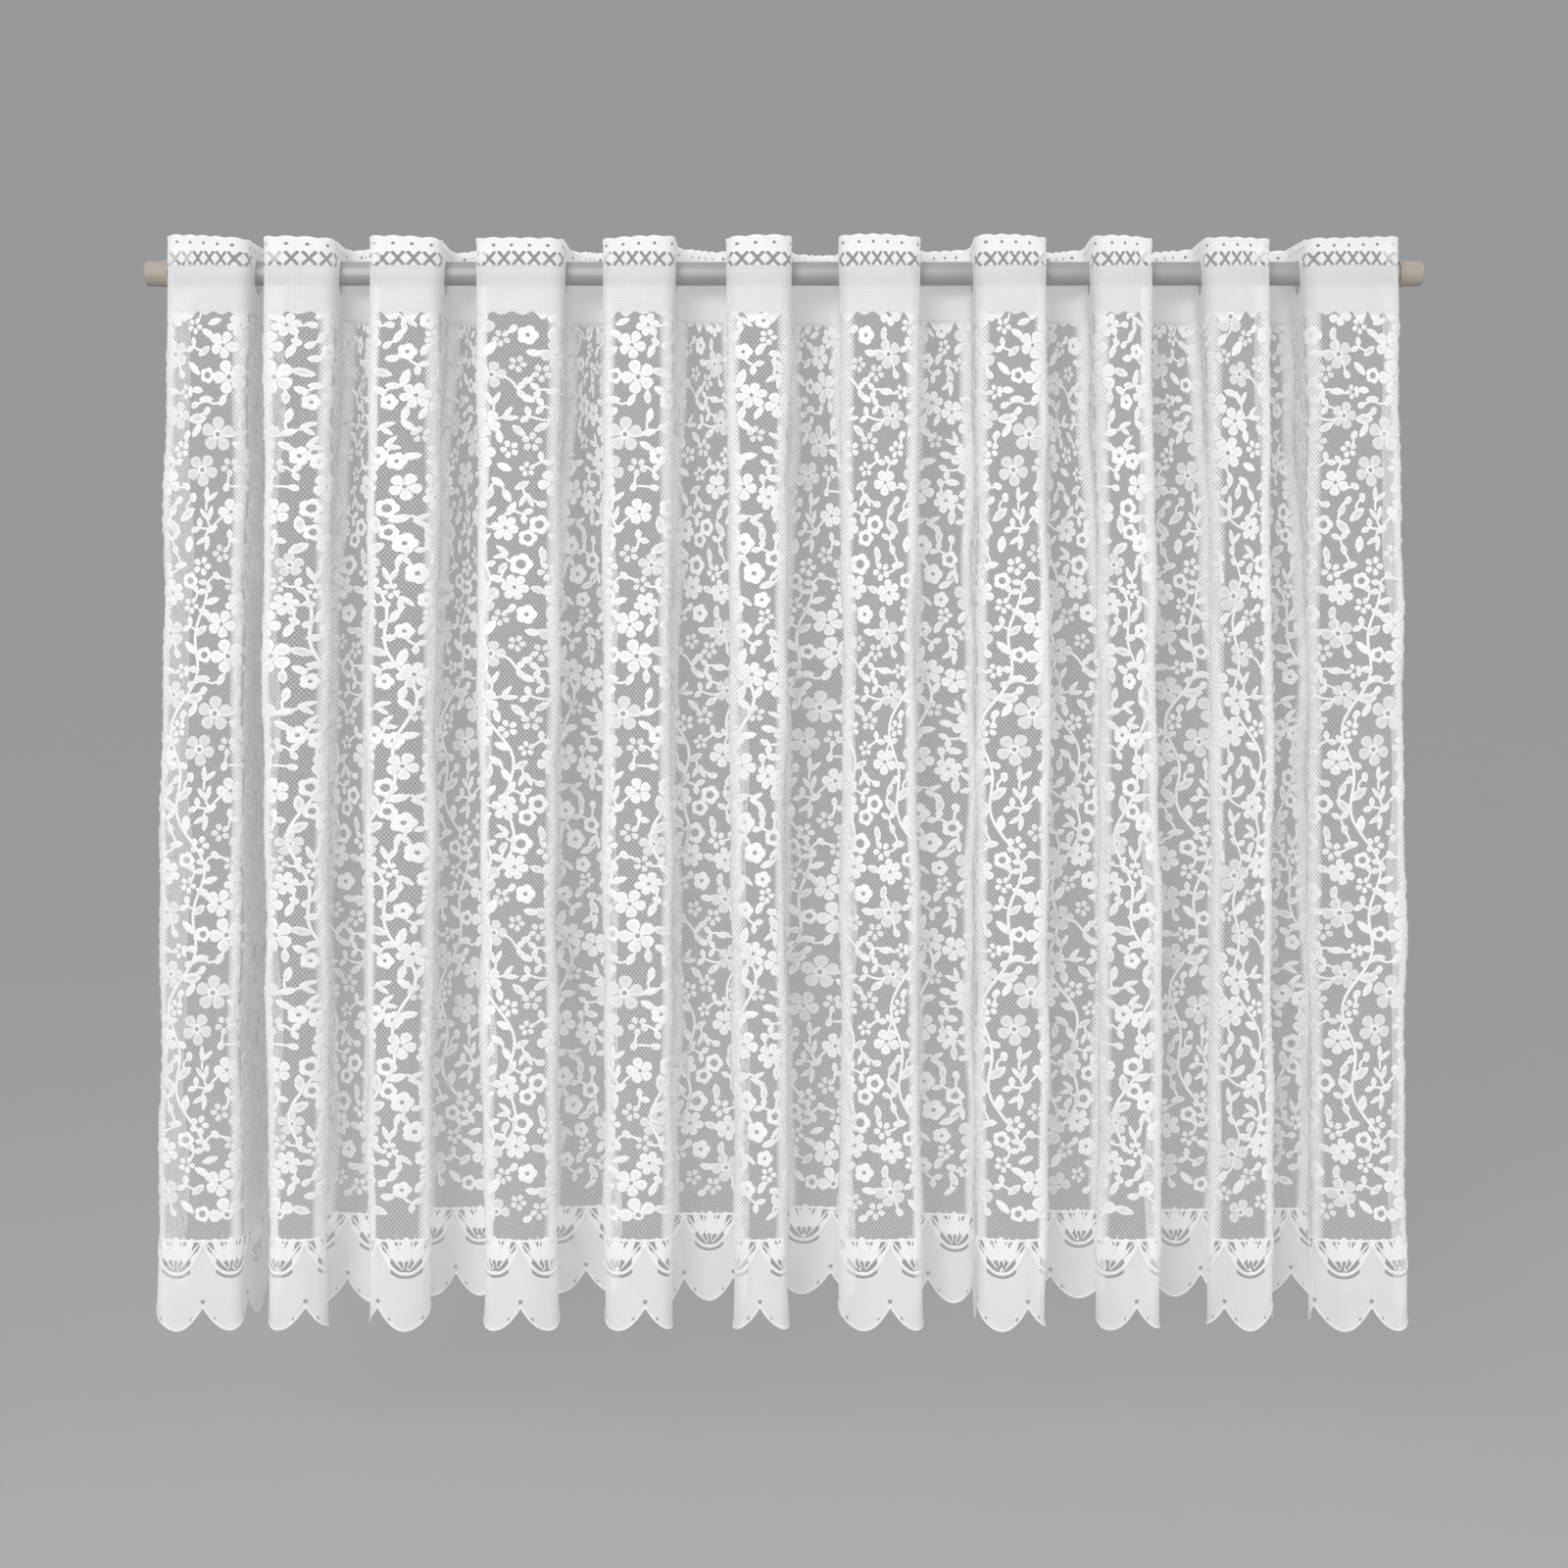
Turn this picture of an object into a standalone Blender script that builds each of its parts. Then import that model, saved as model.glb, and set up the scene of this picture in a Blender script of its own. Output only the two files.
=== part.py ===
"""A lace cafe curtain hung in folds on a straight rod.

The cloth is one knitted panel: a heading with a row of diamond holes, a plain band that the rod is
woven through, a body of flower lace and a scalloped hem. The rod is a plain tube with a cap on
each end. Metres, +X to the right, -Y to the front, +Z up. The origin is the centre of the left
cap's flat outer face, on the rod's axis.
"""

import bisect
import math

import bmesh
import bpy
from mathutils import Vector

MM = 0.001

# The rod and its caps
ROD_LENGTH = 1.074  # over both caps
ROD_RADIUS = 0.0100
ROD_WALL = 0.0010
ROUND_SIDES = 24
CAP_LENGTH = 0.020
CAP_FLOOR = 0.0037
CAP_RADIUS = 0.0112
CAP_END_RADIUS = 0.0105
CAP_EDGE = 0.0016
GAP = 0.0003

# The cloth's heights, measured from the rod's axis
TOP_EDGE = 0.0240
HOLE_TOP = 0.0112
HOLE_BOTTOM = 0.0020
BELOW_SLOT = -0.0210
HEM_TIP = -0.8770
SCALLOP_RISE = 0.0195
SCALLOP_POWER = 2.0

CLOTH_THICKNESS = 0.0012
SCALLOP_PITCH = 0.0450
SCALLOP_START = 0.0166  # from the cloth's left edge to its first notch
SCALLOP_STEPS = 6
HOLE_PITCH = SCALLOP_PITCH / 4
HOLE_WIDTH = 0.0064
HOLE_KEEP_OFF = 0.0165  # a hole nearer to the rod's axis than this would run into a slot
SLOT_RADIUS = ROD_RADIUS + GAP
SLOT_DROP = 0.0075  # how far the slot's lower round lies under the rod's axis

# How the cloth hangs in plan
FRONT = -0.0350
LEFT_RETURN = 0.0700
RIGHT_RETURN = 0.0570
TOP_ROUNDING = 0.0120
FOLD_ROUNDING = 0.0090
FRONT_BOW = 0.0025
LONGEST_STRAIGHT = 0.0220
ARC_STEPS = 3
TOP_WAVE = 0.0016
TOP_WAVE_LENGTH = 0.2100

# The heights at which the edges of each front fold are listed below
EDGE_HEIGHTS = {"rod": 0.0, "middle": -0.346, "low": -0.629, "hem": -0.877}

# One row for each front fold, left to right, in millimetres. The first eight columns are the left
# and right edges at those heights. "under" is how far the wall at each edge leans in beneath the
# fold on its way back, and "depth" how far the cloth runs back after the fold.
FOLD_COLUMNS = (
    "rod_l", "rod_r", "middle_l", "middle_r", "low_l", "low_r", "hem_l", "hem_r",
    "under_l", "under_r", "depth",
)
FOLD_ROWS = (
    (26, 93, 21, 89, 19, 87, 18, 89, 4, -2, 82.0),
    (106, 165, 106, 162, 109, 162, 113, 160, -10, 20, 62.5),
    (194, 253, 191, 251, 192, 249, 195, 245, -8, 22, 75.0),
    (282, 354, 283, 352, 286, 350, 289, 353, 0, 20, 80.0),
    (387, 446, 385, 443, 386, 446, 388, 444, 8, 6, 64.5),
    (489, 543, 490, 538, 492, 539, 494, 541, 16, 4, 80.0),
    (583, 650, 584, 645, 582, 649, 581, 651, 18, 2, 60.5),
    (696, 754, 695, 757, 695, 756, 695, 754, 6, 0, 68.5),
    (793, 842, 796, 845, 796, 851, 794, 847, 18, 0, 72.5),
    (886, 939, 888, 940, 887, 940, 884, 941, 28, -13, 76.5),
    (969, 1046, 968, 1050, 969, 1051, 971, 1052, 24, -5, 57.0),
)
FOLDS = [dict(zip(FOLD_COLUMNS, row)) for row in FOLD_ROWS]

# The share of its lean that each wall has at a height: none at the top edge, all of it lower down
LEAN_FULL_AT = -0.346
LEAN_AT_TOP = 0.10

COLOURS = {
    "lace": ((0.86, 0.86, 0.87), 0.9, 0.0),
    "tube": ((0.55, 0.56, 0.58), 0.35, 0.9),
    "cap": ((0.68, 0.63, 0.57), 0.6, 0.0),
}


def clear_scene():
    for obj in list(bpy.data.objects):
        bpy.data.objects.remove(obj, do_unlink=True)


def material(name):
    colour, roughness, metallic = COLOURS[name]
    made = bpy.data.materials.new(name)
    made.use_nodes = True
    shader = made.node_tree.nodes["Principled BSDF"]
    shader.inputs["Base Color"].default_value = (*colour, 1.0)
    shader.inputs["Roughness"].default_value = roughness
    shader.inputs["Metallic"].default_value = metallic
    return made


def new_object(name, bm, surface=None):
    bmesh.ops.recalc_face_normals(bm, faces=bm.faces)
    mesh = bpy.data.meshes.new(name)
    bm.to_mesh(mesh)
    bm.free()
    if surface:
        mesh.materials.append(surface)
    obj = bpy.data.objects.new(name, mesh)
    bpy.context.scene.collection.objects.link(obj)
    return obj


def between(low, high, share):
    return low + (high - low) * share


def edge_at(fold, side, height):
    """The X of a front fold's left ("l") or right ("r") edge at a height, in metres."""
    names = list(EDGE_HEIGHTS)
    heights = [EDGE_HEIGHTS[name] for name in names]
    if height >= heights[0]:
        return fold[f"rod_{side}"] * MM
    for upper, lower in zip(names, names[1:]):
        if height >= EDGE_HEIGHTS[lower]:
            share = (height - EDGE_HEIGHTS[upper]) / (EDGE_HEIGHTS[lower] - EDGE_HEIGHTS[upper])
            return between(fold[f"{upper}_{side}"], fold[f"{lower}_{side}"], share) * MM
    return fold[f"hem_{side}"] * MM


def lean_share(height):
    share = (TOP_EDGE - height) / (TOP_EDGE - LEAN_FULL_AT)
    return between(LEAN_AT_TOP, 1.0, min(1.0, max(0.0, share)))


def rounding(height):
    share = (TOP_EDGE - height) / (TOP_EDGE - LEAN_FULL_AT)
    return between(TOP_ROUNDING, FOLD_ROUNDING, min(1.0, max(0.0, share)))


def plan_corners(height):
    """The corners of the cloth's zigzag in plan at a height, from its left edge to its right edge."""
    lean = lean_share(height)
    points = []
    back = FRONT + LEFT_RETURN
    for fold in FOLDS:
        left, right = edge_at(fold, "l", height), edge_at(fold, "r", height)
        points.append(Vector((left + fold["under_l"] * MM * lean, back)))
        points.append(Vector((left, FRONT)))
        points.append(Vector((right, FRONT)))
        back = FRONT + fold["depth"] * MM
        points.append(Vector((right - fold["under_r"] * MM * lean, back)))
    return points


def plan_pieces(height):
    """The zigzag with its corners rounded: a list of (straight or arc, start, end, length).

    An arc's start and end are followed by its centre. Each corner gives one arc, so the pieces
    match from one height to another.
    """
    points = plan_corners(height)
    radius = rounding(height)
    pieces = []
    reached = points[0]
    for before, corner, after in zip(points, points[1:], points[2:]):
        come, leave = (corner - before), (after - corner)
        turn = come.angle(leave)
        shortest = min(come.length, leave.length)
        cut = min(radius * math.tan(turn / 2), 0.48 * shortest)
        arc_radius = cut / math.tan(turn / 2)
        start = corner - come.normalized() * cut
        end = corner + leave.normalized() * cut
        middle = (come.normalized() * -1 + leave.normalized()).normalized()
        centre = corner + middle * (arc_radius / math.cos(turn / 2))
        pieces.append(("straight", reached, start, None, (start - reached).length))
        pieces.append(("arc", start, end, centre, arc_radius * turn))
        reached = end
    pieces.append(("straight", reached, points[-1], None, (points[-1] - reached).length))
    return pieces


def point_on(piece, share):
    """The plan point at a share of a piece's length."""
    kind, start, end, centre, _ = piece
    if kind == "straight":
        return start.lerp(end, share)
    spoke = start - centre
    turn = spoke.angle_signed(end - centre)
    angle = -turn * share
    return centre + Vector((
        spoke.x * math.cos(angle) - spoke.y * math.sin(angle),
        spoke.x * math.sin(angle) + spoke.y * math.cos(angle),
    ))


class Plan:
    """The cloth's line at one height, read by the distance along the flat cloth."""

    def __init__(self, height, flat_starts=None):
        self.pieces = plan_pieces(height)
        if flat_starts is None:
            flat_starts = [0.0]
            for piece in self.pieces:
                flat_starts.append(flat_starts[-1] + piece[4])
        self.flat_starts = flat_starts
        self.width = flat_starts[-1]

    def point(self, along):
        index = bisect.bisect_right(self.flat_starts, along) - 1
        index = min(max(index, 0), len(self.pieces) - 1)
        low, high = self.flat_starts[index], self.flat_starts[index + 1]
        share = (along - low) / (high - low) if high > low else 0.0
        place = point_on(self.pieces[index], min(1.0, max(0.0, share)))
        if index % 8 == 2:  # the front run of a fold bows out a little
            place = place + Vector((0.0, -FRONT_BOW * math.sin(math.pi * share)))
        return place

    def normal(self, along):
        step = 0.0004
        ahead = self.point(min(self.width, along + step)) - self.point(max(0.0, along - step))
        return Vector((-ahead.y, ahead.x)).normalized()

    def columns(self):
        """The places along the cloth that its folds need."""
        found = [0.0]
        for index, piece in enumerate(self.pieces):
            low, high = self.flat_starts[index], self.flat_starts[index + 1]
            if piece[0] == "arc":
                steps = ARC_STEPS
            else:
                steps = max(1, math.ceil((high - low) / LONGEST_STRAIGHT))
            found += [between(low, high, step / steps) for step in range(1, steps + 1)]
        return [a for a, b in zip(found, found[1:]) if b - a > 0.0006] + [found[-1]]


def top_height(along):
    return TOP_EDGE + TOP_WAVE * math.sin(math.tau * along / TOP_WAVE_LENGTH)


def hem_height(along):
    """The scalloped edge: round lobes that meet in notches."""
    place = (along - SCALLOP_START) / SCALLOP_PITCH
    off_centre = abs(2 * (place - math.floor(place)) - 1)
    return HEM_TIP + SCALLOP_RISE * off_centre ** SCALLOP_POWER


def hem_columns(width):
    first = -math.floor(SCALLOP_START / SCALLOP_PITCH * SCALLOP_STEPS)
    step = SCALLOP_PITCH / SCALLOP_STEPS
    found = [0.0]
    index = first
    while SCALLOP_START + index * step < width - 0.001:
        along = SCALLOP_START + index * step
        if along > 0.001:
            found.append(along)
        index += 1
    return found + [width]


class Row:
    """A level of the cloth: a front and a back vertex at each of its columns."""

    def __init__(self, bm, plan, columns, height_of):
        self.columns = list(columns)
        self.front, self.back = [], []
        for along in self.columns:
            place, half = plan.point(along), plan.normal(along) * (CLOTH_THICKNESS / 2)
            height = height_of(along)
            self.front.append(bm.verts.new((place.x - half.x, place.y - half.y, height)))
            self.back.append(bm.verts.new((place.x + half.x, place.y + half.y, height)))

    def part(self, first, last):
        """The (along, front, back) of the columns first to last."""
        chosen = range(first, last + 1)
        return [(self.columns[i], self.front[i], self.back[i]) for i in chosen]

    def whole(self):
        return self.part(0, len(self.columns) - 1)


def fill_between(bm, upper, lower):
    """Both faces of the cloth between two levels, as triangles that step along whichever is behind."""
    i = j = 0
    while i < len(upper) - 1 or j < len(lower) - 1:
        step_upper = j == len(lower) - 1 or (
            i < len(upper) - 1 and upper[i + 1][0] <= lower[j + 1][0]
        )
        third = upper[i + 1] if step_upper else lower[j + 1]
        for side in (1, 2):
            bm.faces.new((upper[i][side], lower[j][side], third[side]))
        if step_upper:
            i += 1
        else:
            j += 1


def close_edge(bm, chain):
    """The narrow strip between the cloth's two faces along one of its edges."""
    for (_, front, back), (_, next_front, next_back) in zip(chain, chain[1:]):
        bm.faces.new((front, next_front, next_back, back))


def hole_centres(plan):
    count = int(plan.width / HOLE_PITCH)
    margin = (plan.width - (count - 1) * HOLE_PITCH) / 2
    return [margin + index * HOLE_PITCH for index in range(count)]


def is_open(plan, along):
    return abs(plan.point(along).y) > HOLE_KEEP_OFF


def knit_hole_band(bm, plan):
    """The band of diamond holes. Returns its upper and lower rows."""
    centres = hole_centres(plan)
    outline = [0.0] + centres + [plan.width]
    upper = Row(bm, plan, outline, lambda along: HOLE_TOP)
    lower = Row(bm, plan, outline, lambda along: HOLE_BOTTOM)
    middle_height = (HOLE_TOP + HOLE_BOTTOM) / 2
    middle_columns = [0.0]
    sides = {}
    for number, along in enumerate(centres, start=1):
        first = len(middle_columns)
        if is_open(plan, along):
            middle_columns += [along - HOLE_WIDTH / 2, along + HOLE_WIDTH / 2]
            sides[number] = (first, first + 1)
        else:
            middle_columns.append(along)
            sides[number] = (first, first)
    middle_columns.append(plan.width)
    last = len(centres) + 1
    sides[0] = (0, 0)
    sides[last] = (len(middle_columns) - 1,) * 2
    middle = Row(bm, plan, middle_columns, lambda along: middle_height)
    for number in range(last):
        chain = middle.part(sides[number][1], sides[number + 1][0])
        fill_between(bm, upper.part(number, number + 1), chain)
        fill_between(bm, chain, lower.part(number, number + 1))
    for number, (left, right) in sides.items():
        if left != right:
            top, bottom = upper.part(number, number)[0], lower.part(number, number)[0]
            near, far = middle.part(left, left)[0], middle.part(right, right)[0]
            close_edge(bm, [top, near, bottom, far, top])
    return upper, middle, lower


def knit_panel(surface):
    bm = bmesh.new()
    hem_plan = Plan(EDGE_HEIGHTS["hem"])
    flat_starts = hem_plan.flat_starts
    band_plan = Plan(EDGE_HEIGHTS["rod"], flat_starts)
    upper, middle, lower = knit_hole_band(bm, band_plan)
    top = Row(bm, Plan(TOP_EDGE, flat_starts), upper.columns, top_height)
    rows = [lower]
    for height in (BELOW_SLOT, EDGE_HEIGHTS["middle"], EDGE_HEIGHTS["low"]):
        plan = Plan(height, flat_starts)
        rows.append(Row(bm, plan, plan.columns(), lambda along, level=height: level))
    rows.append(Row(bm, hem_plan, hem_columns(hem_plan.width), hem_height))
    fill_between(bm, top.whole(), upper.whole())
    for above, below in zip(rows, rows[1:]):
        fill_between(bm, above.whole(), below.whole())
    close_edge(bm, top.whole())
    close_edge(bm, rows[-1].whole())
    levels = [top, upper, middle] + rows
    for end in (0, -1):
        close_edge(bm, [(0.0, level.front[end], level.back[end]) for level in levels])
    panel = new_object("lace_panel", bm, surface)
    cut_slots(panel)
    return panel


def slot_outline():
    """The slot seen along the rod: round on top, round below, straight between."""
    half = ROUND_SIDES // 2
    points = []
    for centre, start in ((0.0, 0.0), (-SLOT_DROP, math.pi)):
        for step in range(half + 1):
            angle = start + math.pi * step / half
            points.append((SLOT_RADIUS * math.cos(angle), centre + SLOT_RADIUS * math.sin(angle)))
    return points


def cut_slots(panel):
    """One long cutter on the rod's axis opens a slot wherever the cloth crosses the rod."""
    bm = bmesh.new()
    rings = [
        [bm.verts.new((x, y, z)) for y, z in slot_outline()]
        for x in (0.004, ROD_LENGTH - 0.004)
    ]
    close_ring(bm, *rings)
    for ring in rings:
        bm.faces.new(ring)
    cutter = new_object("slot_cutter", bm)
    cutter.hide_render = True
    cutter.display_type = "WIRE"
    slots = panel.modifiers.new("slots", "BOOLEAN")
    slots.object = cutter
    slots.operation = "DIFFERENCE"
    slots.solver = "EXACT"


def close_ring(bm, ring, other):
    for index, vert in enumerate(ring):
        after = (index + 1) % len(ring)
        bm.faces.new((vert, ring[after], other[after], other[index]))


def turned(name, profile, surface, hollow=False):
    """A body of revolution about X. A hollow one joins its last ring to its first."""
    bm = bmesh.new()
    rings = []
    for x, radius in profile:
        angles = [math.tau * step / ROUND_SIDES for step in range(ROUND_SIDES)]
        rings.append([bm.verts.new((x, radius * math.cos(a), radius * math.sin(a))) for a in angles])
    for ring, other in zip(rings, rings[1:]):
        close_ring(bm, ring, other)
    if hollow:
        close_ring(bm, rings[-1], rings[0])
    else:
        bm.faces.new(rings[0])
        bm.faces.new(rings[-1])
    obj = new_object(name, bm, surface)
    obj.data.shade_smooth()
    obj.data.set_sharp_from_angle(angle=math.radians(35))
    return obj


def make_tube(surface):
    start, end = CAP_FLOOR + GAP, ROD_LENGTH - CAP_FLOOR - GAP
    inner = ROD_RADIUS - ROD_WALL
    profile = [(start, ROD_RADIUS), (end, ROD_RADIUS), (end, inner), (start, inner)]
    return turned("rod_tube", profile, surface, hollow=True)


def cap_profile():
    """A cap from the rim of its flat outer face, over its rounded edge, to the floor of its socket."""
    corner = [
        (CAP_EDGE * (1 - math.cos(a)), CAP_END_RADIUS - CAP_EDGE * (1 - math.sin(a)))
        for a in (0.0, math.radians(30), math.radians(60), math.radians(90))
    ]
    socket = ROD_RADIUS + GAP
    return corner + [(CAP_LENGTH, CAP_RADIUS), (CAP_LENGTH, socket), (CAP_FLOOR, socket)]


def make_caps(surface):
    left = turned("end_cap_left", cap_profile(), surface)
    right = bpy.data.objects.new("end_cap_right", left.data)
    bpy.context.scene.collection.objects.link(right)
    right.rotation_euler = (0.0, 0.0, math.pi)
    right.location = (ROD_LENGTH, 0.0, 0.0)
    return left, right


def main():
    clear_scene()
    rod = bpy.data.objects.new("curtain_rod", None)
    bpy.context.scene.collection.objects.link(rod)
    cap_surface = material("cap")
    pieces = [knit_panel(material("lace")), make_tube(material("tube")), *make_caps(cap_surface)]
    for piece in pieces:
        piece.parent = rod


main()
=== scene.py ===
"""The looks of a white flower-lace cafe curtain that hangs in folds on a plain round rod.

The cloth is one knitted panel, made here of five meshes that lie on its folds: the net ground, the
flowers, the leaves and stems, the heading and the scalloped hem. Flat cloth is measured by "along",
from its left edge at the hem, and by height. Metres, +X to the right, -Y to the front, +Z up.
"""

import math
import random

import bpy
import numpy as np
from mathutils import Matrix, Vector


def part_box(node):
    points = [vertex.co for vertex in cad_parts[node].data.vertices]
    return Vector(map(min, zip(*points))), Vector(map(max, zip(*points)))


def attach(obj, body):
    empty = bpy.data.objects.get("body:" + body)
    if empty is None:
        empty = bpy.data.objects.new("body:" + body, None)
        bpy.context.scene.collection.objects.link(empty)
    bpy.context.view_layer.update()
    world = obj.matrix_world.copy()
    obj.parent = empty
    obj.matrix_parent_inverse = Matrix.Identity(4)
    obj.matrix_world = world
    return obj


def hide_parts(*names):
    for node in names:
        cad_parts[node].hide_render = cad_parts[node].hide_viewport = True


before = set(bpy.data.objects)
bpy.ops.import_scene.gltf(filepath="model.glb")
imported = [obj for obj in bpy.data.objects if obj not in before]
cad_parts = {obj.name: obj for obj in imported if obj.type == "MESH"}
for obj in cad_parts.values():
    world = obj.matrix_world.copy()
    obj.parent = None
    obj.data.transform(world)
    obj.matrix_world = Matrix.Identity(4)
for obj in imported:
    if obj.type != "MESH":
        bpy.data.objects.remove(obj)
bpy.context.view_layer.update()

MM = 0.001
TINY = 1e-9


def table(columns, rows):
    return [dict(zip(columns, row)) for row in rows]


# The rod and the slots that it runs through
SLOT_RADIUS = 0.0108
SLOT_DROP = 0.0072
ROD_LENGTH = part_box("end_cap_right")[1].x

# The cloth's heights, measured from the rod's axis
TOP_EDGE = 0.0240
HOLE_TOP = 0.0118
HOLE_BOTTOM = 0.0014
BAND_BOTTOM = -0.0372
NET_TOP = -0.0355
NET_BOTTOM = -0.8030
FAN_TOP = -0.7830
HEM_TIP = -0.8770
SCALLOP_RISE = 0.0195
SCALLOP_PITCH = 0.0450
SCALLOP_START = 0.0166
HOLE_PITCH = SCALLOP_PITCH / 4
HOLE_KEEP_OFF = 0.0165

# How the cloth hangs in plan
FRONT = -0.0350
LEFT_RETURN = 0.0700
TOP_ROUNDING = 0.0120
FOLD_ROUNDING = 0.0090
FRONT_BOW = 0.0025
TOP_WAVE = 0.0016
TOP_WAVE_LENGTH = 0.2100

# In mm: each fold's left and right edge at four heights, how far its returns lean, and its depth
EDGE_HEIGHTS = {"rod": 0.0, "middle": -0.346, "low": -0.629, "hem": -0.877}
FOLD_COLUMNS = (
    "rod_l", "rod_r", "middle_l", "middle_r", "low_l", "low_r", "hem_l", "hem_r",
    "under_l", "under_r", "depth",
)
FOLD_ROWS = (
    (26, 93, 21, 89, 19, 87, 18, 89, 4, -2, 82.0),
    (106, 165, 106, 162, 109, 162, 113, 160, -10, 20, 62.5),
    (194, 253, 191, 251, 192, 249, 195, 245, -8, 22, 75.0),
    (282, 354, 283, 352, 286, 350, 289, 353, 0, 20, 80.0),
    (387, 446, 385, 443, 386, 446, 388, 444, 8, 6, 64.5),
    (489, 543, 490, 538, 492, 539, 494, 541, 16, 4, 80.0),
    (583, 650, 584, 645, 582, 649, 581, 651, 18, 2, 60.5),
    (696, 754, 695, 757, 695, 756, 695, 754, 6, 0, 68.5),
    (793, 842, 796, 845, 796, 851, 794, 847, 18, 0, 72.5),
    (886, 939, 888, 940, 887, 940, 884, 941, 28, -13, 76.5),
    (969, 1046, 968, 1050, 969, 1051, 971, 1052, 24, -5, 57.0),
)
FOLDS = table(FOLD_COLUMNS, FOLD_ROWS)
LEAN_FULL_AT = EDGE_HEIGHTS["middle"]
LEAN_AT_TOP = 0.10
EDGE_READ_AT = (-60, -30, 0, 30, 60)  # mm below and above a height, to smooth an edge's line

# How the folds sway below the heading: sizes in mm, and wave lengths over tau
CORNER_SWAYS = (
    {"size": 1.1, "length": 0.047, "shift": 2.4},
    {"size": 0.7, "length": 0.021, "shift": 1.7},
)
BACK_SWAY = {"size": 2.2, "length": 0.083, "shift": 1.3}
SWAY_FULL_AT = -0.12

# The net's grid, its closer edge, and how far the other pieces stand in front of it
NET_ROWS = 91
NET_STEP = 0.0050
NET_BEND_STEPS = 8
SELVEDGE = 0.0040
MOTIF_LIFT = 0.0005
BAND_LIFT = 0.0004

# How much closer the yarns lie at a bend and on the returns, where the cloth bunches
AT_BEND = 0.80
AT_RETURN = 0.56
BEND_SPREAD = 0.7
RETURN_EDGE = 8

# The heading's and the hem's grid step along, and how close their plain knitting is
STRIP_STEP = 0.0014
PLAIN_CLOSENESS = 0.66

# The flower repeat, 14 of them across the flat cloth, and how near its motifs come to the edges
REPEATS_ACROSS = 14
REPEAT_HEIGHT = 0.230
MOTIF_SIDE_GAP = 0.003
MOTIFS_TOP = NET_TOP - 0.002
MOTIFS_BOTTOM = FAN_TOP - 0.006

# The camera stands straight in front, at the height where the folds show neither top nor bottom
CAMERA_PLACE = (0.537, -1.55, -0.265)
CAMERA_LENS = 42.19
CAMERA_SHIFT = -0.125

# The studio
FLOOR_SIZE = 60.0
FLOOR_HEIGHT = -1.10
FLOOR_TONE = 0.38
FLOOR_SPECKLE = 0.004
WORLD_LIGHT = 0.85
WORLD_TINT = (0.97, 0.985, 1.0)
LIT_SPOT = (ROD_LENGTH / 2, 0.0, -0.42)
LIGHT_COLUMNS = ("name", "place", "size", "power", "spread", "colour")
LIGHT_ROWS = (
    ("key", (-0.4, -2.75, 0.5), 1.0, 48.0, 180, (0.975, 0.988, 1.0)),
    ("fill", (2.6, -2.0, 0.2), 1.8, 14.0, 180, (1.0, 0.94, 0.87)),
    ("window", (ROD_LENGTH / 2, 4.0, 0.3), 1.2, 3.0, 36, (1.0, 0.93, 0.86)),
)


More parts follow.
